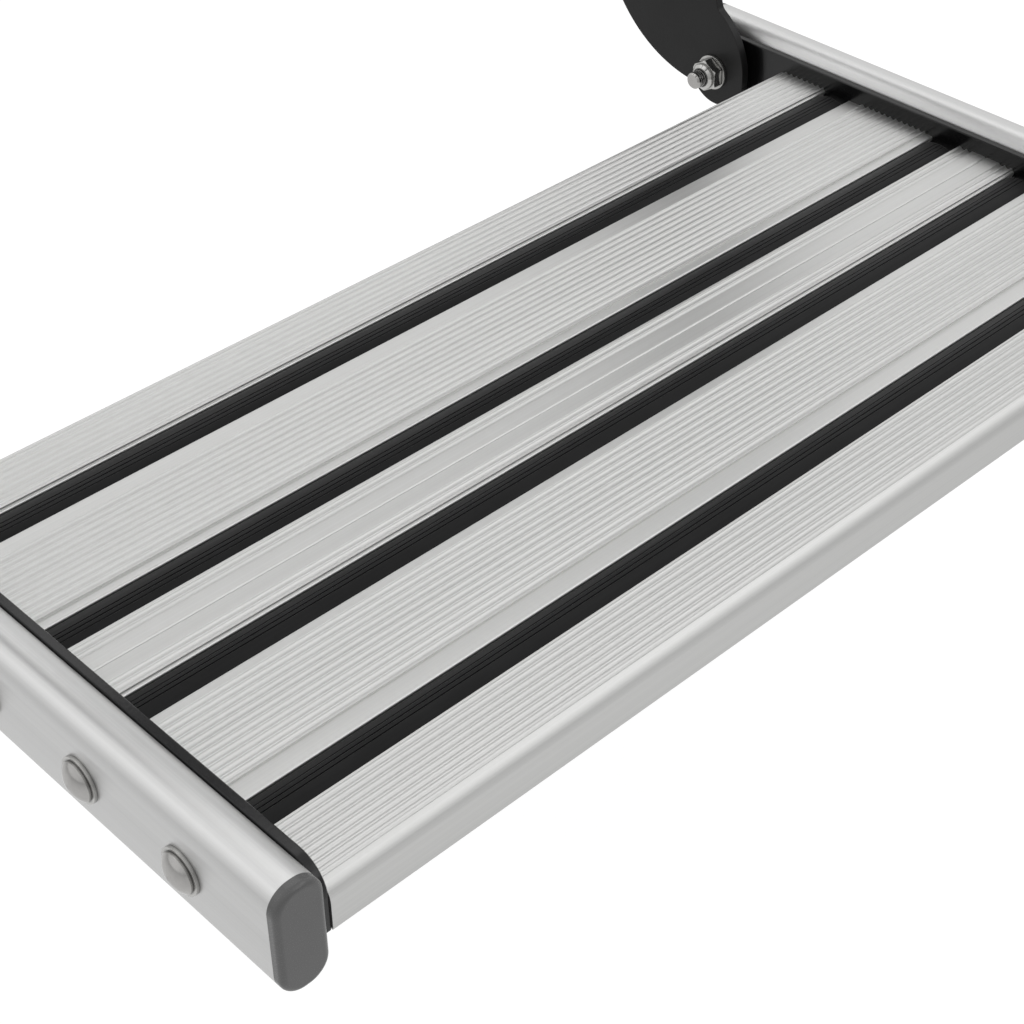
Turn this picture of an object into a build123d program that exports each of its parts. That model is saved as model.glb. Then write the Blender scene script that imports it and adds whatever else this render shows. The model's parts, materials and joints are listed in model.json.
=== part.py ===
"""Single swing-out entry step for a caravan: ribbed tread, swing arms and the frame it hangs from.

Frame: X along the tread, Y towards the vehicle, Z up, in millimetres. The origin is the middle
of the four floor bolts, on the plane where the flanges meet the vehicle floor. The step is
drawn swung out, ready to be stood on.
"""
import os
from math import acos, asin, atan2, cos, degrees, hypot, pi, radians, sin, sqrt

from build123d import *

# Tread planks: one hollow extrusion, used twice, back to back
TREAD_LENGTH = 595.0        # plank length, along X
PLANK_DEPTH = 150.7         # middle joint to nose
PLANK_HEIGHT = 23.2         # underside to the low lands of the top
SKIN = 2.0                  # top, bottom and nose walls
WEB = 1.8                   # upright webs inside
NOSE_RADIUS = 10.0
HEEL_RADIUS = 0.8           # lower edge of the nose
RIB_HEIGHT = 1.3            # rib tops above the low lands
RIB_PITCH = 3.99
RIB_CREST = 0.9             # flat width left on a rib
RIB_EDGE = 0.18             # small bevel of a rib
JOINT_ROUND = 1.2           # rounded edge along the middle joint
MID_FIELD_AT = 8.3          # start of the narrow ribbed field beside the middle joint
INNER_FIELD_AT = 41.3       # start of the inner ribbed field
INNER_FIELD_WIDTH = 45.0
OUTER_FIELD_WIDTH = 33.1

# Rubber grip strips, held in T channels
INNER_STRIP_AT = 27.5
OUTER_STRIP_AT = 104.6
STRIP_WIDTH = 16.3
STRIP_CROWN = 0.6           # crown above the low lands
STRIP_EDGE = 1.0            # edges below the low lands
STRIP_BEVEL = 0.5           # bevelled top edges
STRIP_FOOT = 18.4
STRIP_DEPTH = 4.2           # foot underside below the low lands
LIP = 2.2                   # aluminium lip over the foot
LIP_ROUND = 1.0             # rounded top edge of the lips
STRIP_GROOVE = 0.6
STRIP_GROOVE_PITCH = 2.4
STRIP_GROOVE_SHIFT = 1.1    # the three fine grooves sit nearer the middle joint
STRIP_SHORT = 5.5           # the strips stop short of one end
STRIP_CLEARANCE = 0.3       # beside the strip
STRIP_PLAY = 0.1            # under the lips and the foot
STRIP_GAP = 1.5             # from a strip to the ribs beside it

# Screw ports and deck screws
PORT_AT = (34.0, 98.0)      # from the middle joint
AXIS_DROP = 12.0            # all side bolts lie this far below the low lands
PORT_WALL = 2.2
SCREW_RADIUS = 4.0
SCREW_BITE = 32.0           # length of screw inside the plank
SCREW_HEAD_RADIUS = 9.0
SCREW_HEAD_HEIGHT = 4.8
WASHER_RADIUS = 10.6
WASHER_THICKNESS = 1.6
BOLT_CLEARANCE = 0.3        # radial, bolt in a drilled hole
THREAD_CLEARANCE = 0.03     # radial, thread in its nut or port

# Side plates
PLATE_THICKNESS = 4.5
PLATE_RISE = 9.7            # top edge above the low lands
PLATE_SETBACK = 0.8         # front edge behind the plank nose
PLATE_NOSE_RADIUS = 15.0
PLATE_CORNER = 6.0
PLATE_TAIL = 13.5           # plate past the link bolt
PLATE_EDGE = 0.5            # coated edges, rounded

# Oval side rails and their plugs
RAIL_WIDTH = 22.5
RAIL_HEIGHT = 53.9
RAIL_TOP = 16.0             # above the low lands
RAIL_RADIUS = 10.4
RAIL_WALL = 2.2
RAIL_FRONT = 1.3            # rail end behind the plank nose
RAIL_TAIL = 18.5            # rail past the lower pivot
CAP_THICKNESS = 5.1
CAP_ROUND = 2.6
CAP_SPIGOT = 6.5
CAP_WALL = 2.0
CAP_CLEARANCE = 0.15

# Swing geometry, side view
PIVOT_INSET = 42.5          # upper pivot behind the front end of the floor flange
UPPER_PIVOT_DROP = 67.0     # below the floor
ARM_LENGTH = 255.0          # upper to lower pivot
ARM_LEAN = 7.0              # degrees, lower pivot behind the upper one
PIVOT_BEHIND = 190.2        # lower pivot behind the middle of the tread
LINK_OFFSET = 34.0          # link pivots from the arm pivots
LINK_ANGLE = 18.0           # degrees above level

# Crescent arms
ARM_THICKNESS = 5.0
ARM_FOOT_RADIUS = 20.4      # round the lower pivot
ARM_FOOT_FORWARD = 2.4      # its centre in front of the pivot
ARM_KNUCKLE_RADIUS = 44.0   # swelling in front of the lower pivot
ARM_KNUCKLE_RISE = 1.5      # its centre above the pivot
ARM_HEAD_RADIUS = 28.0      # round the upper pivot
ARM_BACK_RADIUS = 86.0      # convex rear edge
ARM_BACK_Y = 8.8            # its centre, from the lower pivot
ARM_BACK_Z = 74.0
ARM_HOLLOW_RADIUS = 120.0   # concave front edge
ARM_HOLLOW_Y = -116.2
ARM_HOLLOW_Z = 72.0
ARM_NOTCH_FILLET = 6.0
ARM_HEEL_FILLET = 12.0
ARM_GAP = 0.5               # between arm, link and side plate

# Links
LINK_THICKNESS = 4.0
LINK_HALF_WIDTH = 9.0
LINK_BOLT_RADIUS = 4.0
LINK_HEAD_RADIUS = 6.8
LINK_HEAD_HEIGHT = 1.7
LINK_SPACER_RADIUS = 8.5
RUNNING = 0.05              # radial clearance of everything that turns
SIDE_PLAY = 0.1             # end float of everything that turns

# Lower pivot
PIVOT_RADIUS = 5.0
PIVOT_HEAD_RADIUS = 10.5
PIVOT_HEAD_HEIGHT = 5.6
PIVOT_WASHER_RADIUS = 10.5
PIVOT_WASHER_THICKNESS = 2.0
PIVOT_NUT_FLATS = 17.0
PIVOT_NUT_HEIGHT = 9.6
PIVOT_STICK_OUT = 7.0       # bolt end past its nut
BUSH_WALL = 2.0
BUSH_FLANGE = 1.0
PIVOT_SPACER_RADIUS = 9.5

# Torque tube and upper shaft
TUBE_RADIUS = 16.0
TUBE_WALL = 3.0
SHAFT_RADIUS = 8.0
TUBE_BUSH_DEPTH = 20.0
TUBE_BUSH_FLANGE = 1.5
SHAFT_NUT_FLATS = 24.0
SHAFT_NUT_HEIGHT = 14.0
SHAFT_STICK_OUT = 3.0

# Hanging frame
HANGER_THICKNESS = 5.0
HANGER_GAP = 0.5            # hanger outboard of the tread end
FLANGE_WIDTH = 40.0
FLANGE_LENGTH = 325.0
HANGER_BEND = 6.0           # outer radius of the folded edge
HANGER_WEB = 26.0           # depth of the long side wall
HANGER_THROAT = 160.0       # length of the deep part along the floor
HANGER_PIVOT_RADIUS = 28.0
HANGER_LINK_RADIUS = 19.0
FLOOR_HOLE_RADIUS = 4.5
FLOOR_HOLE_SPACING = 260.0  # along Y
CROSSBAR_WIDTH = 30.0
CROSSBAR_HEIGHT = 18.0
CROSSBAR_WALL = 3.0
CROSSBAR_INSET = 6.0        # from the flange ends
LINK_NUT_FLATS = 13.0
LINK_NUT_HEIGHT = 8.0

# Rubber stops on the hangers
STOP_RADIUS = 7.0
STOP_MARGIN = 4.0           # hanger left round each stop
STOP_SKIN = 2.5             # rubber left over the end of its screw
STOP_SCREW_RADIUS = 3.0
STOP_HEAD_RADIUS = 5.3
STOP_HEAD_HEIGHT = 3.3
STOP_CLEARANCE = 0.3        # from the arm at rest
STOP_DOWN_ARM = 16.0        # swung-out stop, along the arm's front edge
STOP_UP_ARM = 95.0          # stowed stop, along the arm's rear edge
SWING = 65.0                # degrees from swung out to stowed

# Places worked out from the sizes above
HALF = TREAD_LENGTH / 2
UPPER = (PIVOT_INSET - FLANGE_LENGTH / 2, -UPPER_PIVOT_DROP)
LOWER = (UPPER[0] + ARM_LENGTH * sin(radians(ARM_LEAN)),
         UPPER[1] - ARM_LENGTH * cos(radians(ARM_LEAN)))
OFFSET = (LINK_OFFSET * cos(radians(LINK_ANGLE)), LINK_OFFSET * sin(radians(LINK_ANGLE)))
LINK_LOWER = (LOWER[0] + OFFSET[0], LOWER[1] + OFFSET[1])
LINK_UPPER = (UPPER[0] + OFFSET[0], UPPER[1] + OFFSET[1])
DECK_Y = LOWER[0] - PIVOT_BEHIND
DECK_Z = LOWER[1] + AXIS_DROP
LINK_OUT = HALF - ARM_GAP
LINK_IN = LINK_OUT - LINK_THICKNESS
ARM_OUT = LINK_IN - ARM_GAP
ARM_IN = ARM_OUT - ARM_THICKNESS
HANGER_IN = HALF + HANGER_GAP
HANGER_OUT = HANGER_IN + HANGER_THICKNESS
PLATE_OUT = HALF + PLATE_THICKNESS
RAIL_OUT = PLATE_OUT + RAIL_WIDTH
RAIL_FRONT_Y = DECK_Y - PLANK_DEPTH + RAIL_FRONT
RAIL_REAR_Y = LOWER[0] + RAIL_TAIL


def polar(centre, radius, angle):
    """The point at an angle in degrees round a centre."""
    return (centre[0] + radius * cos(radians(angle)), centre[1] + radius * sin(radians(angle)))


def disc(centre, radius):
    """A round face in the side view."""
    return Pos(*centre) * Circle(radius)


def hull(*discs):
    """The face wrapped round several discs."""
    return make_hull([edge for one in discs for edge in one.edges()])


def slab(sketch, x_from, x_to):
    """A side-view face as a plate between two places along X."""
    return Pos(x_from, 0, 0) * extrude(Plane.YZ * sketch, amount=x_to - x_from)


def rod(centre, radius, x_from, x_to):
    """A round bar along X."""
    bar = Cylinder(radius, x_to - x_from, align=(Align.CENTER, Align.CENTER, Align.MIN))
    return Pos(x_from, *centre) * Rot(0, 90, 0) * bar


def ring(centre, outer, inner, x_from, x_to):
    """A round bar along X with a bore."""
    return rod(centre, outer, x_from, x_to) - rod(centre, inner, x_from, x_to)


def dome(centre, radius, height, x_face, rim=1.2):
    """A low domed head that stands out from x_face towards +X."""
    rise = height - rim
    ball = (radius ** 2 + rise ** 2) / (2 * rise)
    cap = Pos(x_face + height - ball, *centre) * Rot(0, 90, 0) * Sphere(ball)
    return rod(centre, radius, x_face, x_face + height) & cap


def lock_nut(centre, flats, height, bore, x_face, side=1):
    """A hexagon nut with a rounded locking collar, from x_face towards side."""
    collar = height * 0.3
    body = height - collar
    corner = flats / sqrt(3)
    hexagon = extrude(RegularPolygon(flats / 2, 6, major_radius=False), amount=body)
    bevel = Cylinder(corner * 0.985, body, align=(Align.CENTER, Align.CENTER, Align.MIN))
    bevel = chamfer(bevel.edges().filter_by(GeomType.CIRCLE), corner * 0.07)
    top = Pos(0, 0, body) * Cylinder(flats * 0.45, collar, align=(Align.CENTER, Align.CENTER, Align.MIN))
    top = chamfer(top.edges().sort_by(Axis.Z)[-1], collar * 0.5)
    nut = (hexagon & bevel) + top
    nut -= Cylinder(bore, 4 * height)
    return Pos(x_face, *centre) * Rot(0, 90 * side, 0) * nut


# Planks

def valley(at):
    """One scalloped valley between two ribs, open at the top."""
    half = (RIB_PITCH - RIB_CREST) / 2
    shoulder = RIB_HEIGHT - RIB_EDGE
    return Pos(at, 0) * make_face([
        ThreePointArc((-half, shoulder), (0, 0), (half, shoulder)),
        Polyline((half, shoulder), (half + RIB_EDGE, RIB_HEIGHT), (half + RIB_EDGE, 2 * RIB_HEIGHT),
                 (-half - RIB_EDGE, 2 * RIB_HEIGHT), (-half - RIB_EDGE, RIB_HEIGHT),
                 (-half, shoulder))])


def ribbed_field(start, width):
    """The valleys of a field that begins and ends on a rib."""
    first = start + RIB_CREST / 2 + RIB_PITCH / 2
    count = int((width - RIB_CREST) / RIB_PITCH + 0.01)
    return [valley(first + index * RIB_PITCH) for index in range(count)]


def span(u_from, u_to, v_from, v_to):
    """A rectangle of the plank section."""
    size = Rectangle(u_to - u_from, v_to - v_from, align=(Align.MIN, Align.MIN))
    return Pos(u_from, v_from) * size


def channel_section(at):
    """The undercut channel that a grip strip slides into."""
    mouth = STRIP_WIDTH / 2 + STRIP_CLEARANCE
    foot = STRIP_FOOT / 2 + STRIP_CLEARANCE
    depth = STRIP_DEPTH + STRIP_PLAY
    edge = mouth + LIP_ROUND
    flare = span(at - edge, at + edge, -LIP_ROUND, RIB_HEIGHT)
    for side in (-1, 1):
        flare -= disc((at + side * edge, -LIP_ROUND), LIP_ROUND)
    return (span(at - mouth, at + mouth, -depth, RIB_HEIGHT) + flare
            + span(at - foot, at + foot, -depth, -LIP))


def plank_section():
    """The extruded section: u from the middle joint to the nose, v up from the low lands."""
    body = span(0, PLANK_DEPTH, -PLANK_HEIGHT, RIB_HEIGHT)
    nose = body.vertices().group_by(Axis.X)[-1].sort_by(Axis.Y)
    body = fillet(nose[-1], NOSE_RADIUS)
    body = fillet(body.vertices().group_by(Axis.X)[-1].sort_by(Axis.Y)[0], HEEL_RADIUS)

    inner_end = INNER_FIELD_AT + INNER_FIELD_WIDTH
    outer_start = OUTER_STRIP_AT + STRIP_WIDTH / 2 + STRIP_GAP
    mid_end = INNER_STRIP_AT - STRIP_WIDTH / 2 - STRIP_GAP
    body -= span(mid_end, INNER_FIELD_AT, 0, 2 * RIB_HEIGHT)
    body -= span(inner_end, outer_start, 0, 2 * RIB_HEIGHT)
    joint = body.vertices().group_by(Axis.X)[0].sort_by(Axis.Y)[-1]
    body = fillet(joint, JOINT_ROUND)
    fields = (ribbed_field(MID_FIELD_AT, mid_end - MID_FIELD_AT)
              + ribbed_field(INNER_FIELD_AT, INNER_FIELD_WIDTH)
              + ribbed_field(outer_start, OUTER_FIELD_WIDTH))
    for groove in fields:
        body -= groove

    hollow = span(SKIN, PLANK_DEPTH - SKIN, SKIN - PLANK_HEIGHT, -SKIN)
    hollow = fillet(hollow.vertices().group_by(Axis.X)[-1].sort_by(Axis.Y)[-1], NOSE_RADIUS - SKIN)
    port_outer = SCREW_RADIUS + PORT_WALL
    webs = [*PORT_AT, sum(PORT_AT) / 2, (PORT_AT[-1] + PLANK_DEPTH) / 2]
    for at in webs:
        hollow -= span(at - WEB / 2, at + WEB / 2, -PLANK_HEIGHT, 0)
    for at in PORT_AT:
        hollow -= Pos(at, -AXIS_DROP) * Circle(port_outer)
    for at in (INNER_STRIP_AT, OUTER_STRIP_AT):
        wall = STRIP_FOOT / 2 + STRIP_CLEARANCE + SKIN
        hollow -= span(at - wall, at + wall, -STRIP_DEPTH - STRIP_PLAY - SKIN, 0)
    body -= hollow
    for at in (INNER_STRIP_AT, OUTER_STRIP_AT):
        body -= channel_section(at)
    for at in PORT_AT:
        body -= Pos(at, -AXIS_DROP) * Circle(SCREW_RADIUS + THREAD_CLEARANCE)
    return body


def strip_section(at):
    """A grip strip: crowned top with three fine grooves, and a foot under the lips."""
    half = STRIP_WIDTH / 2
    flat = half - STRIP_BEVEL
    low = -STRIP_EDGE - STRIP_BEVEL
    top = make_face([
        Polyline((-flat, -STRIP_EDGE), (-half, low), (-half, -STRIP_DEPTH), (half, -STRIP_DEPTH),
                 (half, low), (flat, -STRIP_EDGE)),
        ThreePointArc((flat, -STRIP_EDGE), (0, STRIP_CROWN), (-flat, -STRIP_EDGE))])
    for step in (-1, 0, 1):
        middle = step * STRIP_GROOVE_PITCH - STRIP_GROOVE_SHIFT
        top -= Pos(middle, STRIP_CROWN) * Rectangle(STRIP_GROOVE, STRIP_GROOVE * 2)
    foot = span(-STRIP_FOOT / 2, STRIP_FOOT / 2, -STRIP_DEPTH, -LIP - STRIP_PLAY)
    return Pos(at, 0) * (top + foot)


def along_tread(section, length):
    """A plank section swept along X from the low-X end, for the front plank."""
    plane = Plane(origin=(length - HALF, DECK_Y, DECK_Z), x_dir=(0, -1, 0), z_dir=(-1, 0, 0))
    return extrude(plane * section, amount=length)


def turned(front):
    """The rear copy of a front plank or strip, turned half round about the middle of the deck."""
    return Pos(0, DECK_Y, 0) * Rot(0, 0, 180) * Pos(0, -DECK_Y, 0) * front


# Side plates, rails and plugs

def side_plate():
    """Black side plate between plank ends and rail, on the +X side."""
    front = DECK_Y - PLANK_DEPTH + PLATE_SETBACK
    bottom, top = DECK_Z - PLANK_HEIGHT, DECK_Z + PLATE_RISE
    outline = span(front, LINK_LOWER[0] + PLATE_TAIL, bottom, top)
    nose = outline.vertices().group_by(Axis.X)[0].sort_by(Axis.Y)
    outline = fillet(nose[-1], PLATE_NOSE_RADIUS)
    outline = fillet(outline.vertices().group_by(Axis.X)[-1], PLATE_CORNER)
    plate = slab(outline, HALF, PLATE_OUT)
    rim = plate.faces().sort_by(Axis.X)[0].edges() + plate.faces().sort_by(Axis.X)[-1].edges()
    return drill_side(chamfer(rim, PLATE_EDGE))


def side_bolt_places():
    """The deck screws of one side, front to rear."""
    return [(DECK_Y + sign * at, DECK_Z - AXIS_DROP) for at in PORT_AT for sign in (-1, 1)]


def drill_side(body):
    """Holes for the deck screws and both pivot bolts."""
    reach = (HALF - 1, RAIL_OUT + 1)
    for place in side_bolt_places():
        body -= rod(place, SCREW_RADIUS + BOLT_CLEARANCE, *reach)
    body -= rod(LOWER, PIVOT_RADIUS + BOLT_CLEARANCE, *reach)
    body -= rod(LINK_LOWER, LINK_BOLT_RADIUS + BOLT_CLEARANCE, *reach)
    return body


def rail_oval(inset=0.0):
    """The rail's section, X across and Z up, shrunk by inset."""
    oval = RectangleRounded(RAIL_WIDTH - 2 * inset, RAIL_HEIGHT - 2 * inset, RAIL_RADIUS - inset)
    return Pos(PLATE_OUT + RAIL_WIDTH / 2, DECK_Z + RAIL_TOP - RAIL_HEIGHT / 2) * oval


def along_rail(section, y_from, y_to):
    """A rail section swept along Y."""
    plane = Plane(origin=(0, y_to, 0), x_dir=(1, 0, 0), z_dir=(0, -1, 0))
    return extrude(plane * section, amount=y_to - y_from)


def side_rail():
    """Oval tube outside the plate, on the +X side."""
    tube = along_rail(rail_oval() - rail_oval(RAIL_WALL), RAIL_FRONT_Y, RAIL_REAR_Y)
    return drill_side(tube)


def end_cap(front):
    """Plug with a rounded face and a hollow spigot, for either end of the rail."""
    if front:
        face, seat, end = (RAIL_FRONT_Y - CAP_THICKNESS, RAIL_FRONT_Y, RAIL_FRONT_Y + CAP_SPIGOT)
    else:
        face, seat, end = (RAIL_REAR_Y + CAP_THICKNESS, RAIL_REAR_Y, RAIL_REAR_Y - CAP_SPIGOT)
    head = along_rail(rail_oval(), min(face, seat), max(face, seat))
    rim = head.faces().sort_by(Axis.Y)[0 if front else -1].edges()
    head = fillet(rim, CAP_ROUND)
    wall = RAIL_WALL + CAP_CLEARANCE
    spigot = rail_oval(wall) - rail_oval(wall + CAP_WALL)
    return head + along_rail(spigot, min(seat, end), max(seat, end))


# Fasteners of the tread

def deck_screws():
    """Domed screws through rail and plate into the plank ports."""
    screws = []
    for place in side_bolt_places():
        seat = RAIL_OUT + WASHER_THICKNESS
        head = dome(place, SCREW_HEAD_RADIUS, SCREW_HEAD_HEIGHT, seat)
        screws.append(head + rod(place, SCREW_RADIUS, HALF - SCREW_BITE, seat))
    return Compound(children=screws)


def deck_washers():
    """One washer under each deck screw."""
    reach = (RAIL_OUT, RAIL_OUT + WASHER_THICKNESS)
    bore = SCREW_RADIUS + BOLT_CLEARANCE
    return Compound(children=[ring(at, WASHER_RADIUS, bore, *reach) for at in side_bolt_places()])


def pivot_stack():
    """Where the lower pivot's inner washer, its nut and its bolt end lie along X."""
    washer = ARM_IN - SIDE_PLAY - PIVOT_WASHER_THICKNESS
    nut = washer - PIVOT_NUT_HEIGHT
    return washer, nut, nut - PIVOT_STICK_OUT


def pivot_bolt():
    """Long bolt that the arm turns on, chamfered at its end."""
    seat = RAIL_OUT + WASHER_THICKNESS
    end = pivot_stack()[-1]
    shank = rod(LOWER, PIVOT_RADIUS, end, seat)
    shank = chamfer(shank.edges().sort_by(Axis.X)[0], PIVOT_RADIUS * 0.2)
    return shank + dome(LOWER, PIVOT_HEAD_RADIUS, PIVOT_HEAD_HEIGHT, seat)


def pivot_washers():
    """Washer under the bolt head, and the one between arm and nut."""
    washer = pivot_stack()[0]
    bore = PIVOT_RADIUS + BOLT_CLEARANCE
    outer_radius = PIVOT_WASHER_RADIUS + WASHER_THICKNESS
    outer = ring(LOWER, outer_radius, bore, RAIL_OUT, RAIL_OUT + WASHER_THICKNESS)
    inner = ring(LOWER, PIVOT_WASHER_RADIUS, bore, washer, washer + PIVOT_WASHER_THICKNESS)
    return Compound(children=[outer, inner])


def pivot_nut():
    """Locking nut on the pivot bolt, inside the arm."""
    washer = pivot_stack()[0]
    return lock_nut(LOWER, PIVOT_NUT_FLATS, PIVOT_NUT_HEIGHT, PIVOT_RADIUS + THREAD_CLEARANCE,
                    washer, side=-1)


def pivot_spacer():
    """Steel ring between arm bush and side plate."""
    start = ARM_OUT + BUSH_FLANGE + SIDE_PLAY
    return ring(LOWER, PIVOT_SPACER_RADIUS, PIVOT_RADIUS + BOLT_CLEARANCE, start, HALF)


def link_bolt(centre, x_end):
    """Low-headed bolt sunk flush in a link."""
    head = rod(centre, LINK_HEAD_RADIUS, LINK_IN, LINK_IN + LINK_HEAD_HEIGHT)
    return head + rod(centre, LINK_BOLT_RADIUS, LINK_IN, x_end)


def link_nut(centre, x_face):
    """Locking nut of a link bolt, on the outside."""
    return lock_nut(centre, LINK_NUT_FLATS, LINK_NUT_HEIGHT, LINK_BOLT_RADIUS + THREAD_CLEARANCE,
                    x_face)


# Arms and links

def arm_outline():
    """Crescent: convex behind, hollow in front, with a foot and a knuckle at the lower pivot."""
    back = (LOWER[0] + ARM_BACK_Y, LOWER[1] + ARM_BACK_Z)
    hollow = (LOWER[0] + ARM_HOLLOW_Y, LOWER[1] + ARM_HOLLOW_Z)
    blade = hull(disc(back, ARM_BACK_RADIUS), disc(UPPER, ARM_HEAD_RADIUS))
    lean = front_edge_angle()
    far = polar(hollow, 2 * ARM_LENGTH, 90 + lean)
    foot = (LOWER[0] - ARM_FOOT_FORWARD, LOWER[1])
    left = foot[0] - ARM_FOOT_RADIUS
    low = LOWER[1] - 2 * ARM_BACK_RADIUS
    front = hull(disc(hollow, ARM_HOLLOW_RADIUS), disc(far, ARM_HOLLOW_RADIUS))
    front += span(left - 4 * ARM_BACK_RADIUS, left, low, hollow[1])
    knuckle_centre = (left + ARM_KNUCKLE_RADIUS, LOWER[1] + ARM_KNUCKLE_RISE)
    knuckle = disc(knuckle_centre, ARM_KNUCKLE_RADIUS)
    knuckle &= span(left, knuckle_centre[0], knuckle_centre[1], LOWER[1] + 2 * ARM_KNUCKLE_RADIUS)
    knuckle += span(left, foot[0], foot[1], knuckle_centre[1])
    outline = (blade - front) + disc(foot, ARM_FOOT_RADIUS) + knuckle
    heel = outline.vertices().sort_by_distance((*polar(foot, ARM_FOOT_RADIUS, -50), 0))[0]
    outline = fillet(heel, ARM_HEEL_FILLET)
    notch = polar(knuckle_centre, ARM_KNUCKLE_RADIUS, 118)
    notch = outline.vertices().sort_by_distance((*notch, 0))[0]
    return fillet(notch, ARM_NOTCH_FILLET)


def front_edge_angle():
    """How far the arm's straight front edge leans forward, in degrees."""
    run = UPPER[0] - (LOWER[0] + ARM_HOLLOW_Y)
    rise = UPPER[1] - (LOWER[1] + ARM_HOLLOW_Z)
    reach = (ARM_HOLLOW_RADIUS + ARM_HEAD_RADIUS) / hypot(run, rise)
    return degrees(atan2(rise, run) - acos(reach))


def rear_edge_angle():
    """Direction that the arm's straight rear edge faces, in degrees."""
    run = UPPER[0] - (LOWER[0] + ARM_BACK_Y)
    rise = UPPER[1] - (LOWER[1] + ARM_BACK_Z)
    taper = asin((ARM_BACK_RADIUS - ARM_HEAD_RADIUS) / hypot(run, rise))
    return degrees(atan2(rise, run) + taper) - 90


def swing_arm():
    """Crescent arm with a bore for each bush."""
    arm = slab(arm_outline(), ARM_IN, ARM_OUT)
    arm -= rod(LOWER, PIVOT_RADIUS + RUNNING + BUSH_WALL, ARM_IN - 1, ARM_OUT + 1)
    arm -= rod(UPPER, TUBE_RADIUS - TUBE_WALL, ARM_IN - 1, ARM_OUT + 1)
    return arm


def arm_bush():
    """Flanged bush in the arm, on the lower pivot."""
    bore = PIVOT_RADIUS + RUNNING
    outer = bore + BUSH_WALL
    return (ring(LOWER, outer, bore, ARM_IN, ARM_OUT)
            + ring(LOWER, outer + BUSH_WALL, bore, ARM_OUT, ARM_OUT + BUSH_FLANGE))


def torque_tube():
    """Tube that joins the two arms at the upper pivot."""
    return ring(UPPER, TUBE_RADIUS, TUBE_RADIUS - TUBE_WALL, -ARM_IN, ARM_IN)


def tube_bush():
    """Flanged bush through the arm into the torque tube."""
    bore = SHAFT_RADIUS + RUNNING
    outer = TUBE_RADIUS - TUBE_WALL
    flange = ARM_OUT + TUBE_BUSH_FLANGE
    return (ring(UPPER, outer, bore, ARM_OUT - TUBE_BUSH_DEPTH, ARM_OUT)
            + ring(UPPER, TUBE_RADIUS, bore, ARM_OUT, flange))


def rear_link():
    """Flat bar that keeps the tread level, sunk for its low bolt heads."""
    outline = hull(disc(LINK_LOWER, LINK_HALF_WIDTH), disc(LINK_UPPER, LINK_HALF_WIDTH))
    link = slab(outline, LINK_IN, LINK_OUT)
    for centre in (LINK_LOWER, LINK_UPPER):
        sink = LINK_IN + LINK_HEAD_HEIGHT + SIDE_PLAY
        link -= rod(centre, LINK_BOLT_RADIUS + RUNNING, LINK_IN - 1, LINK_OUT + 1)
        link -= rod(centre, LINK_HEAD_RADIUS + RUNNING, LINK_IN - 1, sink)
    return link


# Hanging frame

def stop_places():
    """Where the arm meets its rubber stops: swung out, and stowed."""
    reach = STOP_RADIUS + STOP_CLEARANCE
    face = front_edge_angle()
    tangent = polar(UPPER, ARM_HEAD_RADIUS + reach, 180 + face)
    swung_out = polar(tangent, STOP_DOWN_ARM, face - 90)
    face = rear_edge_angle() + SWING
    tangent = polar(UPPER, ARM_HEAD_RADIUS + reach, face)
    return [swung_out, polar(tangent, STOP_UP_ARM, face - 90)]


def hanger():
    """Folded steel side of the frame: deep at the pivots, with a floor flange on top."""
    rear, front = FLANGE_LENGTH / 2, -FLANGE_LENGTH / 2
    boss = STOP_RADIUS + STOP_MARGIN
    stops = stop_places()
    deep = hull(disc(UPPER, HANGER_PIVOT_RADIUS), disc(LINK_UPPER, HANGER_LINK_RADIUS),
                *[disc(at, boss) for at in stops],
                span(front, front + HANGER_THROAT, -HANGER_WEB, 0))
    wall = deep + span(front, rear, -HANGER_WEB, 0)
    wall &= span(2 * front, 2 * rear, -4 * UPPER_PIVOT_DROP, 0)
    body = slab(wall, HANGER_IN, HANGER_OUT)
    width = Pos((HANGER_IN + HANGER_OUT + FLANGE_WIDTH) / 2, 0, -HANGER_THICKNESS / 2)
    flange = Box(HANGER_THICKNESS + FLANGE_WIDTH, FLANGE_LENGTH, HANGER_THICKNESS)
    body += width * flange
    bend = body.edges().filter_by(Axis.Y).filter_by_position(Axis.Z, -0.01, 0.01)
    body = fillet(bend.sort_by(Axis.X)[0], HANGER_BEND)
    body -= rod(UPPER, SHAFT_RADIUS + BOLT_CLEARANCE, HANGER_IN - 1, HANGER_OUT + 1)
    body -= rod(LINK_UPPER, LINK_BOLT_RADIUS + BOLT_CLEARANCE, HANGER_IN - 1, HANGER_OUT + 1)
    for at in stops:
        body -= rod(at, STOP_SCREW_RADIUS + BOLT_CLEARANCE, HANGER_IN - 1, HANGER_OUT + 1)
    for side in (-1, 1):
        hole = Cylinder(FLOOR_HOLE_RADIUS, 4 * HANGER_THICKNESS)
        body -= Pos(HANGER_OUT + FLANGE_WIDTH / 2, side * FLOOR_HOLE_SPACING / 2, 0) * hole
    return body


def crossbar(y_middle):
    """Folded channel between the hangers, open below."""
    profile = Rectangle(CROSSBAR_WIDTH, CROSSBAR_HEIGHT, align=(Align.CENTER, Align.MAX))
    inside = Rectangle(CROSSBAR_WIDTH - 2 * CROSSBAR_WALL, CROSSBAR_HEIGHT - CROSSBAR_WALL,
                       align=(Align.CENTER, Align.MAX))
    section = profile - Pos(0, -CROSSBAR_WALL) * inside
    section = Pos(0, -HANGER_BEND) * section
    return Pos(0, y_middle, 0) * slab(section, -HANGER_IN, HANGER_IN)


def shaft_ends():
    """Outer faces of the shaft's nuts and its ends, along X."""
    nut = HANGER_OUT + SHAFT_NUT_HEIGHT
    return nut, nut + SHAFT_STICK_OUT


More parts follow.
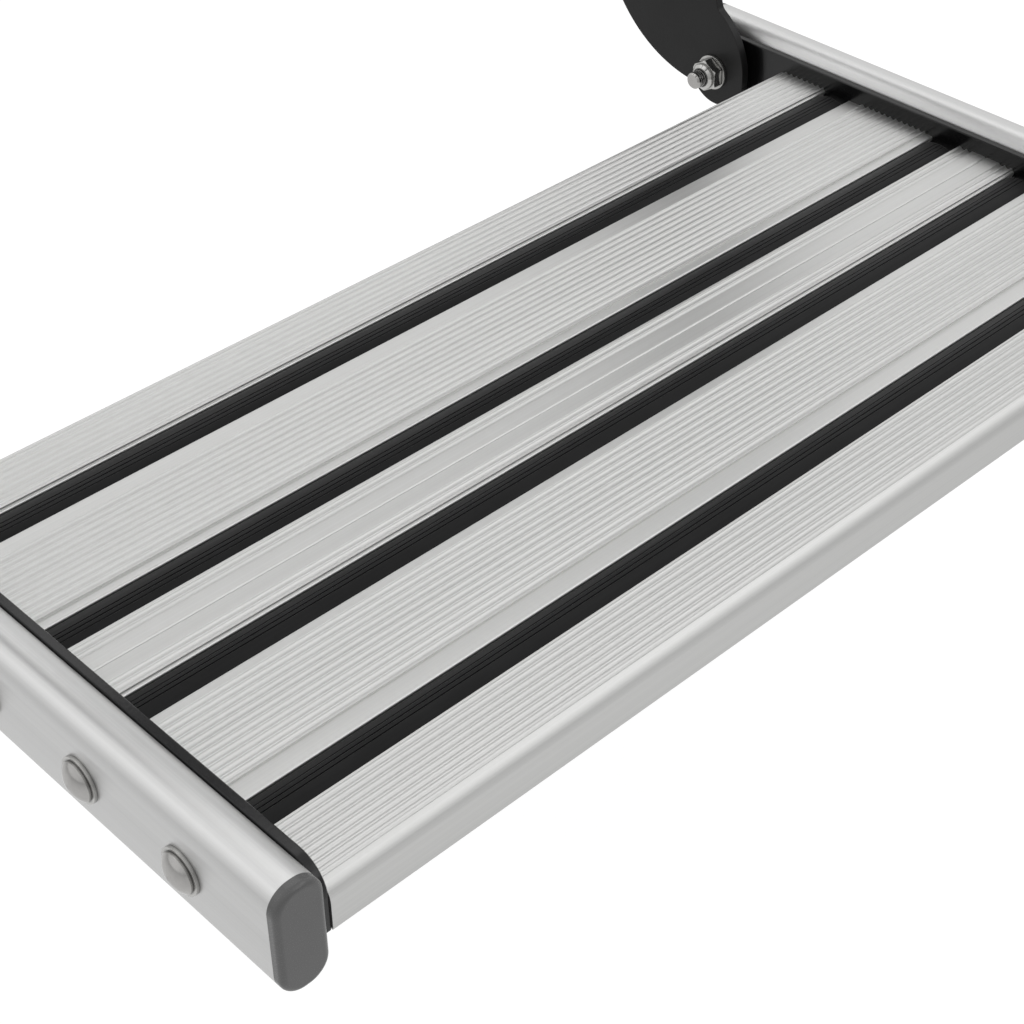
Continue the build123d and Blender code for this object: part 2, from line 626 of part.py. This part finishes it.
def pivot_shaft():
    """Steel rod from hanger to hanger, inside the torque tube."""
    end = shaft_ends()[-1]
    shaft = rod(UPPER, SHAFT_RADIUS, -end, end)
    tips = shaft.edges().filter_by(GeomType.CIRCLE)
    return chamfer(tips, SHAFT_RADIUS * 0.15)


def shaft_collar():
    """Steel ring between tube bush and hanger."""
    start = ARM_OUT + TUBE_BUSH_FLANGE + SIDE_PLAY
    return ring(UPPER, TUBE_RADIUS, SHAFT_RADIUS + THREAD_CLEARANCE, start, HANGER_IN)


def shaft_nut():
    """Locking nut at one end of the shaft."""
    return lock_nut(UPPER, SHAFT_NUT_FLATS, SHAFT_NUT_HEIGHT, SHAFT_RADIUS + THREAD_CLEARANCE,
                    HANGER_OUT)


def link_spacer():
    """Thin washer between link and hanger."""
    bore = LINK_BOLT_RADIUS + BOLT_CLEARANCE
    return ring(LINK_UPPER, LINK_SPACER_RADIUS, bore, LINK_OUT + SIDE_PLAY, HANGER_IN)


def stop_buffers():
    """Two rubber rollers on the hanger that the arm comes to rest against."""
    end = ARM_IN + SIDE_PLAY
    rollers = []
    for at in stop_places():
        roller = rod(at, STOP_RADIUS, end, HANGER_IN)
        roller = chamfer(roller.edges().filter_by(GeomType.CIRCLE).sort_by(Axis.X)[0], 1.0)
        blind = rod(at, STOP_SCREW_RADIUS + THREAD_CLEARANCE, end + STOP_SKIN - SIDE_PLAY, HANGER_IN)
        rollers.append(roller - blind)
    return Compound(children=rollers)


def stop_screws():
    """Button-headed screws that hold the rubber rollers."""
    screws = []
    for at in stop_places():
        shank = rod(at, STOP_SCREW_RADIUS, ARM_IN + SIDE_PLAY + STOP_SKIN, HANGER_OUT)
        screws.append(shank + dome(at, STOP_HEAD_RADIUS, STOP_HEAD_HEIGHT, HANGER_OUT, rim=0.6))
    return Compound(children=screws)


def one_side():
    """Every piece that the +X side has and the -X side mirrors."""
    lower_nut = PLATE_OUT
    upper_nut = HANGER_OUT
    return {
        "side_plate": side_plate(),
        "side_rail": side_rail(),
        "end_cap_front": end_cap(front=True),
        "end_cap_rear": end_cap(front=False),
        "deck_screws": deck_screws(),
        "deck_washers": deck_washers(),
        "pivot_bolt": pivot_bolt(),
        "pivot_washers": pivot_washers(),
        "pivot_nut": pivot_nut(),
        "pivot_spacer": pivot_spacer(),
        "link_bolt_lower": link_bolt(LINK_LOWER, lower_nut + LINK_NUT_HEIGHT),
        "link_nut_lower": link_nut(LINK_LOWER, lower_nut),
        "swing_arm": swing_arm(),
        "arm_bush": arm_bush(),
        "tube_bush": tube_bush(),
        "rear_link": rear_link(),
        "hanger": hanger(),
        "shaft_collar": shaft_collar(),
        "shaft_nut": shaft_nut(),
        "link_bolt_upper": link_bolt(LINK_UPPER, upper_nut + LINK_NUT_HEIGHT),
        "link_nut_upper": link_nut(LINK_UPPER, upper_nut),
        "link_spacer_upper": link_spacer(),
        "stop_buffers": stop_buffers(),
        "stop_screws": stop_screws(),
    }


def all_pieces():
    """Node name to solid, for the whole step."""
    front_plank = along_tread(plank_section(), TREAD_LENGTH)
    pieces = {"deck_plank_front": front_plank, "deck_plank_rear": turned(front_plank)}
    for place, at in (("inner", INNER_STRIP_AT), ("outer", OUTER_STRIP_AT)):
        strip = along_tread(strip_section(at), TREAD_LENGTH - STRIP_SHORT)
        pieces[f"grip_strip_front_{place}"] = strip
        pieces[f"grip_strip_rear_{place}"] = Pos(-STRIP_SHORT, 0, 0) * turned(strip)
    for name, piece in one_side().items():
        pieces[f"{name}_right"] = piece
        pieces[f"{name}_left"] = mirror(piece, Plane.YZ)
    bar = FLANGE_LENGTH / 2 - CROSSBAR_INSET - CROSSBAR_WIDTH / 2
    pieces["crossbar_front"] = crossbar(-bar)
    pieces["crossbar_rear"] = crossbar(bar)
    pieces["torque_tube"] = torque_tube()
    pieces["pivot_shaft"] = pivot_shaft()
    return pieces


os.makedirs("parts", exist_ok=True)
for node, piece in all_pieces().items():
    export_step(piece, f"parts/{node}.step")
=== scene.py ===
"""Looks of the caravan entry step: materials, small details, light and camera."""
import json
from math import cos, pi, sin

import bmesh
import bpy
from mathutils import Matrix, Vector


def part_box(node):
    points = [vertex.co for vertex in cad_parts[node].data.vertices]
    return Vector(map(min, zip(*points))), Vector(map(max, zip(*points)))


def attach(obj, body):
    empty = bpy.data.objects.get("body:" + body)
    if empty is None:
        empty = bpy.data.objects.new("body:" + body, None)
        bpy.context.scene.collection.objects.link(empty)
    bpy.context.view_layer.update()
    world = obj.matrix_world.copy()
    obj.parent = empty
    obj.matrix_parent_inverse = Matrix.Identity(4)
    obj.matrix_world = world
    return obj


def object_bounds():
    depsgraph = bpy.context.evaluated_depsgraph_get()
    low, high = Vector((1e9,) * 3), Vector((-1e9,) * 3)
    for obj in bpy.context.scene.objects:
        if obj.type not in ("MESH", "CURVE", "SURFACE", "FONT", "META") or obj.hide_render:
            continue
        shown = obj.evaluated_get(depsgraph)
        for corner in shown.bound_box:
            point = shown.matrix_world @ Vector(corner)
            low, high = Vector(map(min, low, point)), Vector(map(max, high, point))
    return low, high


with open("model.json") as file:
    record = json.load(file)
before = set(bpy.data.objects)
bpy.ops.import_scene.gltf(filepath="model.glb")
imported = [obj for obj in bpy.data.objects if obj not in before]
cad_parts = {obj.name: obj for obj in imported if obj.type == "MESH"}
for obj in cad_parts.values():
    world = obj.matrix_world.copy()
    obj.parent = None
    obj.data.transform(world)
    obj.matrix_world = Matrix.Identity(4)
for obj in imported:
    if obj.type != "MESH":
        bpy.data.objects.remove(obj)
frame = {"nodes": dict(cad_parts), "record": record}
CAD_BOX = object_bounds()

MM = 0.001
X_AXIS, Y_AXIS = 0, 1
WHITE = (1.0, 1.0, 1.0, 1.0)

# Camera, from the photograph's vanishing points
IMAGE_SIDE = 1024
FOCAL_PIXELS = 2082.67
SENSOR = 36.0
CLIP_START = 0.01
LANDS_BELOW_TOP = 1.3 * MM                                  # of the deck's ribs
CAMERA_FROM_DECK = Vector((-590.05, -553.8, 566.0)) * MM    # from the middle of its lands
CAMERA_RIGHT = Vector((0.72138, -0.69252, -0.00596))
CAMERA_UP = Vector((0.43650, 0.44796, 0.78027))

# Surface patterns, as waves per metre, with their depths
DIE_LINES, DIE_LINES_ALONG = 1400.0, 2.0
DIE_BANDS, DIE_BANDS_ALONG = 90.0, 0.6
DIE_DEPTH = 0.010 * MM
ETCHED_GRAIN, ETCHED_DEPTH = 5200.0, 0.008 * MM
ORANGE_PEEL, PEEL_DEPTH = 620.0, 0.04 * MM
POWDER_GRAIN = 2600.0
POWDER_GRAIN_SHARE = 0.25                                   # of the peel's depth
POWDER_PATCHES = 28.0
RUBBER_DRAG, RUBBER_DRAG_ALONG, DRAG_DEPTH = 700.0, 9.0, 0.06 * MM
RUBBER_PORES, PORE_DEPTH = 2400.0, 0.02 * MM
RUBBER_BLOOM = (36.0, 60.0, 60.0)
SPARK_GRAIN, SPARK_DEPTH = 2200.0, 0.03 * MM
PLASTIC_CLOUDS = 60.0
STEEL_MARKS = (4000.0, 260.0, 260.0)
STEEL_GRAIN, STEEL_DEPTH = 3000.0, 0.004 * MM
STEEL_STAINS = 170.0

# How round each kind of edge looks, and the finish of each kind of surface
ALUMINIUM_EDGE = 0.18 * MM
POWDER_EDGE = 0.6 * MM
RUBBER_EDGE = 0.25 * MM
PLASTIC_EDGE = 0.4 * MM
STEEL_EDGE = 0.2 * MM
# Painted shade on fastener steel: the colour goes near black where an occlusion mask finds
# corners and contacts
STEEL_SHADE_REACH = 1.6 * MM
STEEL_PAINTED_SHADE = (0.05, 0.05, 0.05)
PAINTED_SHADE_SEEN = (0.35, 0.85)                                   # openness from full painted shade to none
SMOOTHER = 0.05
POWDER_SHEEN = 0.3
RUBBER_ROUGHNESS = (0.40, 0.54)
RUBBER_SPECULAR = 0.16
RUBBER_DUST, RUBBER_DUST_ROUGHNESS = 0.3, 0.3
BEVEL_SAMPLES = 6
OCCLUSION_SAMPLES = 8

# Bolt details
PIVOT_RADIUS = 5.0 * MM
PIVOT_PITCH = 1.5 * MM
BOLT_TIP_SHARE = 0.2                                        # of the radius, left without thread
THREAD_DEPTH_SHARE, THREAD_HALF_SHARE = 0.35, 0.42          # of the pitch
THREAD_RUN_OUT = 0.3                                        # turns
THREAD_PROUD = 0.08 * MM
INSERT_RADIUS = 5.8 * MM
INSERT_SUNK = 0.3 * MM
INSERT_PROUD = 0.2 * MM
TREAD_BODY = "tread"

# Light
ROOM_LEVEL = 0.95           # light of the room on matt surfaces, high up
ROOM_LOW = 0.62             # and low down
ROOM_HEIGHTS = (-0.2, 0.7)
BACK_WALL = 0.90            # what metal reflects: the wall behind the step,
FRONT_WALL = 0.56           # the darker wall in front of it,
FRONT_WALL_SIDES = (-0.55, 0.15)
FRONT_WALL_HEIGHTS = (0.35, 0.75)
SOFTBOXES = (((-0.54, 0.52, 0.66), 0.90, 0.98, 0.36),    # and soft lamps: direction towards
             ((0.28, 0.55, 0.79), 0.90, 0.975, 0.10),    # each, edges as cosines, level added
             ((0.60, -0.50, 0.62), 0.966, 0.992, 1.3),
             ((0.40, -0.78, 0.46), 0.975, 0.993, 1.3))
OVERHEAD_PLACE = Vector((0.35, 0.9, 1.5))                # from the middle of the deck
OVERHEAD_SIZE = (1.6, 1.2)
OVERHEAD_POWER = 3.0
FLOOR_SIDE = 6.0            # from the middle
FLOOR_DROP = 0.24           # floor below the lowest point of the step
FLOOR_COLOUR = (0.86, 0.86, 0.86)
FLOOR_IN_METAL = 0.84
FLOOR_FAR_IN_METAL = 0.58
FLOOR_NEAR, FLOOR_FAR = 0.9, 2.2
FLOOR_TO_CAMERA = 1.16
SHADOW_KEPT = 0.25          # share of the floor's own shading that the camera sees


# Node helpers

def new_material(name):
    """A cleared node material and its Principled shader."""
    material = bpy.data.materials.new(name)
    material.use_nodes = True
    tree = material.node_tree
    tree.nodes.clear()
    output = tree.nodes.new("ShaderNodeOutputMaterial")
    shader = tree.nodes.new("ShaderNodeBsdfPrincipled")
    tree.links.new(shader.outputs["BSDF"], output.inputs["Surface"])
    return material, tree, shader


def even(scale):
    """The same scale along each axis."""
    return (scale, scale, scale)


def stretched(scale, axis, along):
    """One scale across an axis and another along it."""
    scales = [scale, scale, scale]
    if axis is not None:
        scales[axis] = along
    return scales


def shade_of(colour, factor):
    """A colour made darker or lighter."""
    return tuple(min(1.0, factor * one) for one in colour)


def coordinates(tree, scale):
    """Object coordinates in metres, stretched along each axis."""
    source = tree.nodes.new("ShaderNodeTexCoord")
    mapping = tree.nodes.new("ShaderNodeMapping")
    mapping.inputs["Scale"].default_value = scale
    tree.links.new(source.outputs["Object"], mapping.inputs["Vector"])
    return mapping.outputs["Vector"]


def noise(tree, scale, detail):
    """Noise with its own stretch, from 0 to 1."""
    node = tree.nodes.new("ShaderNodeTexNoise")
    node.inputs["Scale"].default_value = 1.0
    node.inputs["Detail"].default_value = detail
    node.inputs["Roughness"].default_value = 0.55
    tree.links.new(coordinates(tree, scale), node.inputs["Vector"])
    return node.outputs["Fac"]


def spread(tree, value, low, high, from_low=0.3, from_high=0.7):
    """A value stretched to a range; noise lies mostly between 0.3 and 0.7."""
    node = tree.nodes.new("ShaderNodeMapRange")
    node.inputs["From Min"].default_value = from_low
    node.inputs["From Max"].default_value = from_high
    node.inputs["To Min"].default_value = low
    node.inputs["To Max"].default_value = high
    tree.links.new(value, node.inputs["Value"])
    return node.outputs["Result"]


def math(tree, operation, first, second):
    """One math node; each input is a socket or a number."""
    node = tree.nodes.new("ShaderNodeMath")
    node.operation = operation
    for socket, value in zip(node.inputs, (first, second)):
        if isinstance(value, (int, float)):
            socket.default_value = value
        else:
            tree.links.new(value, socket)
    return node.outputs["Value"]


def blend_colours(tree, factor, first, second):
    """Mix of two colours by a factor socket."""
    node = tree.nodes.new("ShaderNodeMix")
    node.data_type = "RGBA"
    tree.links.new(factor, node.inputs["Factor"])
    colour_inputs = [one for one in node.inputs if one.type == "RGBA"]
    for socket, value in zip(colour_inputs, (first, second)):
        if isinstance(value, tuple):
            socket.default_value = (*value, 1.0)
        else:
            tree.links.new(value, socket)
    return [one for one in node.outputs if one.type == "RGBA"][0]


def soft_edges(tree, radius):
    """Normals rounded over hard edges."""
    node = tree.nodes.new("ShaderNodeBevel")
    node.samples = BEVEL_SAMPLES
    node.inputs["Radius"].default_value = radius
    return node.outputs["Normal"]


def set_relief(tree, shader, edge, heights):
    """Soft edges with bumps on top: (height socket, depth in metres) pairs."""
    normal = soft_edges(tree, edge)
    for height, depth in heights:
        node = tree.nodes.new("ShaderNodeBump")
        node.inputs["Strength"].default_value = 1.0
        node.inputs["Distance"].default_value = depth
        tree.links.new(height, node.inputs["Height"])
        tree.links.new(normal, node.inputs["Normal"])
        normal = node.outputs["Normal"]
    tree.links.new(normal, shader.inputs["Normal"])


def set_roughness(tree, shader, pattern, smoothest, roughest):
    """Roughness that follows a pattern between two values."""
    tree.links.new(spread(tree, pattern, smoothest, roughest), shader.inputs["Roughness"])


def openness(tree, reach):
    """Mask for painted shade: 0 deep in a corner, 1 in the open."""
    node = tree.nodes.new("ShaderNodeAmbientOcclusion")
    node.samples = OCCLUSION_SAMPLES
    node.inputs["Distance"].default_value = reach
    return spread(tree, node.outputs["AO"], 0.0, 1.0, *PAINTED_SHADE_SEEN)


# Materials

def drawn_aluminium(name, along, colour, roughness):
    """Satin anodised extrusion: fine die lines along its length and a fine etched grain."""
    material, tree, shader = new_material(name)
    fine = noise(tree, stretched(DIE_LINES, along, DIE_LINES_ALONG), 3.0)
    wide = noise(tree, stretched(DIE_BANDS, along, DIE_BANDS_ALONG), 2.0)
    grain = noise(tree, even(ETCHED_GRAIN), 2.0)
    both = math(tree, "ADD", spread(tree, fine, -0.5, 0.5), spread(tree, wide, -0.5, 0.5))
    factor = spread(tree, both, 0.0, 1.0, -1.0, 1.0)
    finish = blend_colours(tree, factor, shade_of(colour, 0.93), shade_of(colour, 1.05))
    tree.links.new(finish, shader.inputs["Base Color"])
    shader.inputs["Metallic"].default_value = 1.0
    set_roughness(tree, shader, grain, roughness - SMOOTHER, roughness + 0.07)
    set_relief(tree, shader, ALUMINIUM_EDGE, [(fine, DIE_DEPTH), (grain, ETCHED_DEPTH)])
    return material


def powder_coat(name, colour, roughness, sheen=POWDER_SHEEN):
    """Satin black powder coat with orange peel."""
    material, tree, shader = new_material(name)
    waves = noise(tree, even(ORANGE_PEEL), 2.0)
    fine = noise(tree, even(POWDER_GRAIN), 3.0)
    patches = spread(tree, noise(tree, even(POWDER_PATCHES), 3.0), 0.0, 1.0)
    finish = blend_colours(tree, patches, shade_of(colour, 0.8), shade_of(colour, 1.25))
    tree.links.new(finish, shader.inputs["Base Color"])
    shader.inputs["Specular IOR Level"].default_value = sheen
    set_roughness(tree, shader, fine, roughness - SMOOTHER, roughness + 0.08)
    set_relief(tree, shader, POWDER_EDGE,
               [(waves, PEEL_DEPTH), (fine, PEEL_DEPTH * POWDER_GRAIN_SHARE)])
    return material


def black_rubber(name, colour, along=None):
    """Extruded or moulded rubber: low sheen, a little dust, fine pores and drag lines."""
    material, tree, shader = new_material(name)
    pores = noise(tree, even(RUBBER_PORES), 4.0)
    drag = noise(tree, stretched(RUBBER_DRAG, along, RUBBER_DRAG_ALONG), 3.0)
    bloom = spread(tree, noise(tree, RUBBER_BLOOM, 4.0), 0.0, 1.0)
    finish = blend_colours(tree, bloom, colour, shade_of(colour, 1.5))
    tree.links.new(finish, shader.inputs["Base Color"])
    shader.inputs["Specular IOR Level"].default_value = RUBBER_SPECULAR
    shader.inputs["Sheen Weight"].default_value = RUBBER_DUST
    shader.inputs["Sheen Roughness"].default_value = RUBBER_DUST_ROUGHNESS
    set_roughness(tree, shader, drag, *RUBBER_ROUGHNESS)
    set_relief(tree, shader, RUBBER_EDGE, [(drag, DRAG_DEPTH), (pores, PORE_DEPTH)])
    return material


def moulded_plastic(name, colour, roughness):
    """Moulded plastic with a fine spark-eroded grain."""
    material, tree, shader = new_material(name)
    grain = noise(tree, even(SPARK_GRAIN), 4.0)
    cloud = spread(tree, noise(tree, even(PLASTIC_CLOUDS), 3.0), 0.0, 1.0)
    finish = blend_colours(tree, cloud, colour, shade_of(colour, 1.07))
    tree.links.new(finish, shader.inputs["Base Color"])
    set_roughness(tree, shader, grain, roughness - SMOOTHER, roughness + 0.06)
    set_relief(tree, shader, PLASTIC_EDGE, [(grain, SPARK_DEPTH)])
    return material


def bright_steel(name, colour, roughness, metallic=1.0, painted_shade=True):
    """Fastener steel: stained a little, with fine marks across X and painted shade darkening
    its corners.
    """
    material, tree, shader = new_material(name)
    marks = noise(tree, STEEL_MARKS, 4.0)
    fine = noise(tree, even(STEEL_GRAIN), 3.0)
    stain = spread(tree, noise(tree, even(STEEL_STAINS), 4.0), 0.0, 1.0)
    finish = blend_colours(tree, stain, shade_of(colour, 0.86), colour)
    # Painted shade: the colour goes near black in corners and where a head meets its washer
    if painted_shade:
        finish = blend_colours(tree, openness(tree, STEEL_SHADE_REACH), STEEL_PAINTED_SHADE, finish)
    tree.links.new(finish, shader.inputs["Base Color"])
    shader.inputs["Metallic"].default_value = metallic
    set_roughness(tree, shader, marks, roughness - SMOOTHER, roughness + 0.08)
    set_relief(tree, shader, STEEL_EDGE, [(fine, STEEL_DEPTH)])
    return material


def all_materials():
    """One material per slot of the record, and one for the added threads."""
    recipes = {
        "deck_aluminium": (drawn_aluminium, X_AXIS, (0.665, 0.665, 0.655), 0.44),
        "rail_aluminium": (drawn_aluminium, Y_AXIS, (0.66, 0.66, 0.655), 0.38),
        "grip_rubber": (black_rubber, (0.006, 0.006, 0.0062), X_AXIS),
        "cap_plastic": (moulded_plastic, (0.085, 0.085, 0.085), 0.24),
        "black_plate": (powder_coat, (0.004, 0.004, 0.0042), 0.20, 0.42),
        "black_arm": (powder_coat, (0.008, 0.008, 0.0081), 0.34, 0.27),
        "black_frame": (powder_coat, (0.008, 0.008, 0.0085), 0.38),
        "bolt_steel": (bright_steel, (0.47, 0.462, 0.45), 0.15),
        "washer_steel": (bright_steel, (0.56, 0.555, 0.54), 0.26),
        "nut_steel": (bright_steel, (0.58, 0.575, 0.56), 0.15),
        "thread_steel": (bright_steel, (0.62, 0.61, 0.60), 0.40, 0.45, False),
        "bush_plastic": (moulded_plastic, (0.60, 0.585, 0.53), 0.40),
        "stop_rubber": (black_rubber, (0.014, 0.014, 0.014)),
    }
    return {name: make(name, *values) for name, (make, *values) in recipes.items()}


def dress_nodes(materials):
    """Give each CAD node the material of its slot."""
    for part in frame["record"]["subparts"]:
        mesh = frame["nodes"][part["node"]].data
        mesh.materials.clear()
        mesh.materials.append(materials[part["material_slot"]])
        for polygon in mesh.polygons:
            polygon.material_index = 0


# Surroundings

def seen_directly(tree):
    """1 for camera, glossy and transmission rays, and 1 for camera rays alone."""
    path = tree.nodes.new("ShaderNodeLightPath")
    camera = path.outputs["Is Camera Ray"]
    direct = math(tree, "MAXIMUM", camera, path.outputs["Is Glossy Ray"])
    return math(tree, "MAXIMUM", direct, path.outputs["Is Transmission Ray"]), camera


def to_metal_only(tree, level, camera):
    """A level that camera rays don't see."""
    return math(tree, "MULTIPLY", level, math(tree, "SUBTRACT", 1.0, camera))


def studio_seen_in_metal(tree, direction):
    """Level of the studio in each direction: two walls and the soft lamps."""
    split = tree.nodes.new("ShaderNodeSeparateXYZ")
    tree.links.new(direction, split.inputs["Vector"])
    forward = spread(tree, split.outputs["Y"], 1.0, 0.0, *FRONT_WALL_SIDES)
    low = spread(tree, split.outputs["Z"], 1.0, 0.0, *FRONT_WALL_HEIGHTS)
    dark = math(tree, "MULTIPLY", forward, low)
    level = spread(tree, dark, BACK_WALL, FRONT_WALL, 0.0, 1.0)
    for towards, edge, full, added in SOFTBOXES:
        dot = tree.nodes.new("ShaderNodeVectorMath")
        dot.operation = "DOT_PRODUCT"
        tree.links.new(direction, dot.inputs[0])
        dot.inputs[1].default_value = Vector(towards).normalized()
        box = spread(tree, dot.outputs["Value"], 0.0, added, edge, full)
        level = math(tree, "ADD", level, box)
    return level


def set_world():
    """White to the camera, a studio in metal, and a soft white room for matt surfaces."""
    world = bpy.data.worlds.new("studio")
    bpy.context.scene.world = world
    world.use_nodes = True
    tree = world.node_tree
    tree.nodes.clear()
    output = tree.nodes.new("ShaderNodeOutputWorld")
    room = tree.nodes.new("ShaderNodeBackground")
    white = tree.nodes.new("ShaderNodeBackground")
    for background in (room, white):
        background.inputs["Color"].default_value = WHITE
    direction = tree.nodes.new("ShaderNodeTexCoord").outputs["Generated"]
    split = tree.nodes.new("ShaderNodeSeparateXYZ")
    tree.links.new(direction, split.inputs["Vector"])
    level = spread(tree, split.outputs["Z"], ROOM_LOW, ROOM_LEVEL, *ROOM_HEIGHTS)
    tree.links.new(level, room.inputs["Strength"])
    direct, camera = seen_directly(tree)
    studio = to_metal_only(tree, studio_seen_in_metal(tree, direction), camera)
    tree.links.new(math(tree, "ADD", studio, camera), white.inputs["Strength"])
    mix = tree.nodes.new("ShaderNodeMixShader")
    tree.links.new(direct, mix.inputs["Fac"])
    tree.links.new(room.outputs["Background"], mix.inputs[1])
    tree.links.new(white.outputs["Background"], mix.inputs[2])
    tree.links.new(mix.outputs["Shader"], output.inputs["Surface"])


def floor_material():
    """Matt white, and a glow that camera and glossy rays see instead of most of it."""
    material = bpy.data.materials.new("floor")
    material.use_nodes = True
    tree = material.node_tree
    tree.nodes.clear()
    output = tree.nodes.new("ShaderNodeOutputMaterial")
    diffuse = tree.nodes.new("ShaderNodeBsdfDiffuse")
    diffuse.inputs["Color"].default_value = (*FLOOR_COLOUR, 1.0)
    glow = tree.nodes.new("ShaderNodeEmission")
    glow.inputs["Color"].default_value = WHITE
    direct, camera = seen_directly(tree)
    place = tree.nodes.new("ShaderNodeTexCoord").outputs["Object"]
    reach = tree.nodes.new("ShaderNodeVectorMath")
    reach.operation = "LENGTH"
    tree.links.new(place, reach.inputs[0])
    in_metal = spread(tree, reach.outputs["Value"], FLOOR_IN_METAL, FLOOR_FAR_IN_METAL,
                      FLOOR_NEAR, FLOOR_FAR)
    to_camera = math(tree, "MULTIPLY", camera, FLOOR_TO_CAMERA)
    level = math(tree, "ADD", to_metal_only(tree, in_metal, camera), to_camera)
    tree.links.new(level, glow.inputs["Strength"])
    mix = tree.nodes.new("ShaderNodeMixShader")
    kept = math(tree, "MULTIPLY", camera, SHADOW_KEPT)
    tree.links.new(math(tree, "SUBTRACT", direct, kept), mix.inputs["Fac"])
    tree.links.new(diffuse.outputs["BSDF"], mix.inputs[1])
    tree.links.new(glow.outputs["Emission"], mix.inputs[2])
    tree.links.new(mix.outputs["Shader"], output.inputs["Surface"])
    return material


def add_floor():
    """Pale floor well below the hanging step: white, with the step's soft shadow."""
    low = min(corner[2] for corner in CAD_BOX) - FLOOR_DROP
    corners = ((-1, -1), (1, -1), (1, 1), (-1, 1))
    mesh = bpy.data.meshes.new("floor")
    mesh.from_pydata([(FLOOR_SIDE * x, FLOOR_SIDE * y, low) for x, y in corners],
                     [], [(0, 1, 2, 3)])
    mesh.materials.append(floor_material())
    floor = bpy.data.objects.new("floor", mesh)
    bpy.context.collection.objects.link(floor)


def add_overhead_lamp(target):
    """A large soft lamp above and behind the step, aimed at a point."""
    data = bpy.data.lights.new("overhead", "AREA")
    data.shape = "RECTANGLE"
    data.size, data.size_y = OVERHEAD_SIZE
    data.energy = OVERHEAD_POWER
    lamp = bpy.data.objects.new("overhead", data)
    bpy.context.collection.objects.link(lamp)
    lamp.location = target + OVERHEAD_PLACE
    lamp.rotation_euler = (-OVERHEAD_PLACE).to_track_quat("-Z", "Y").to_euler()


def add_camera():
    """The photograph's camera: same place, direction and angle of view."""
    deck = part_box("deck_plank_front")
    middle = Vector((0.0, deck[1][1], deck[1][2] - LANDS_BELOW_TOP))
    data = bpy.data.cameras.new("camera")
    data.sensor_width = SENSOR
    data.sensor_fit = "HORIZONTAL"
    data.lens = FOCAL_PIXELS / IMAGE_SIDE * SENSOR
    data.clip_start = CLIP_START
    camera = bpy.data.objects.new("camera", data)
    bpy.context.collection.objects.link(camera)
    back = CAMERA_RIGHT.cross(CAMERA_UP)
    turn = Matrix((CAMERA_RIGHT, CAMERA_UP, back)).transposed().to_4x4()
    camera.matrix_world = Matrix.Translation(middle + CAMERA_FROM_DECK) @ turn
    bpy.context.scene.camera = camera
    return middle


# Small details on the CAD parts

def add_mesh(name, vertices, faces, material, slot, smooth):
    """A new piece that rides on the tread."""
    mesh = bpy.data.meshes.new(name)
    mesh.from_pydata(vertices, [], faces)
    mesh.materials.append(material)
    outward = bmesh.new()
    outward.from_mesh(mesh)
    bmesh.ops.recalc_face_normals(outward, faces=outward.faces)
    outward.to_mesh(mesh)
    outward.free()
    for polygon in mesh.polygons:
        polygon.use_smooth = smooth
    piece = bpy.data.objects.new(name, mesh)
    bpy.context.collection.objects.link(piece)
    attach(piece, TREAD_BODY)


def on_circle(centre, x, reach, angle):
    """A point round an axis along X."""
    return (x, centre[0] + reach * cos(angle), centre[1] + reach * sin(angle))


def band(near, far, corners):
    """The faces between two sections that start at the given vertices."""
    pairs = [(corner, (corner + 1) % corners) for corner in range(corners)]
    return [(near + one, near + two, far + two, far + one) for one, two in pairs]


def thread_mesh(centre, radius, x_from, x_to, pitch, steps=40):
    """A helical ridge along X round a bolt end: closed, with three points to each section."""
    root = radius - THREAD_DEPTH_SHARE * pitch
    half = THREAD_HALF_SHARE * pitch
    run_out = THREAD_RUN_OUT * steps
    count = int((abs(x_to - x_from) - 2 * half) / pitch * steps)
    sign = 1 if x_to > x_from else -1
    vertices, faces = [], []
    for step in range(count + 1):
        angle = 2 * pi * step / steps
        along = x_from + sign * (half + pitch * step / steps)
        fade = min(1.0, step / run_out, (count - step) / run_out)
        crest = radius + THREAD_PROUD * fade
        for shift, reach in ((-half, root), (0.0, crest), (half, root)):
            vertices.append(on_circle(centre, along + shift, reach, angle))
    for step in range(count):
        faces += band(3 * step, 3 * step + 3, 3)
    faces.append((0, 1, 2))
    faces.append((3 * count + 2, 3 * count + 1, 3 * count))
    return vertices, faces


def ring_mesh(centre, inner, outer, x_from, x_to, steps=64):
    """A square-section ring round X."""
    vertices, faces = [], []
    for step in range(steps):
        angle = 2 * pi * step / steps
        for x, reach in ((x_from, inner), (x_from, outer), (x_to, outer), (x_to, inner)):
            vertices.append(on_circle(centre, x, reach, angle))
        faces += band(4 * step, 4 * ((step + 1) % steps), 4)
    return vertices, faces


def add_bolt_details(materials):
    """Threads on the ends of the pivot bolts, and the dark insert of their nuts."""
    for side, sign, end in (("right", -1, 0), ("left", 1, 1)):
        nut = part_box(f"pivot_nut_{side}")
        face = nut[end][0]
        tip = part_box(f"pivot_bolt_{side}")[end][0] - sign * PIVOT_RADIUS * BOLT_TIP_SHARE
        centre = [(nut[0][axis] + nut[1][axis]) / 2 for axis in (1, 2)]
        ridge = thread_mesh(centre, PIVOT_RADIUS, face, tip, PIVOT_PITCH)
        add_mesh(f"pivot_thread_{side}", *ridge, materials["thread_steel"], "bolt_steel", True)
        insert = ring_mesh(centre, PIVOT_RADIUS + 2 * THREAD_PROUD, INSERT_RADIUS,
                           face - sign * INSERT_SUNK, face + sign * INSERT_PROUD)
        add_mesh(f"nut_insert_{side}", *insert, materials["cap_plastic"], "cap_plastic", False)


scene = bpy.context.scene
scene.view_settings.view_transform = "Standard"
materials = all_materials()
dress_nodes(materials)
add_bolt_details(materials)
deck_middle = add_camera()
set_world()
add_floor()
add_overhead_lamp(deck_middle)
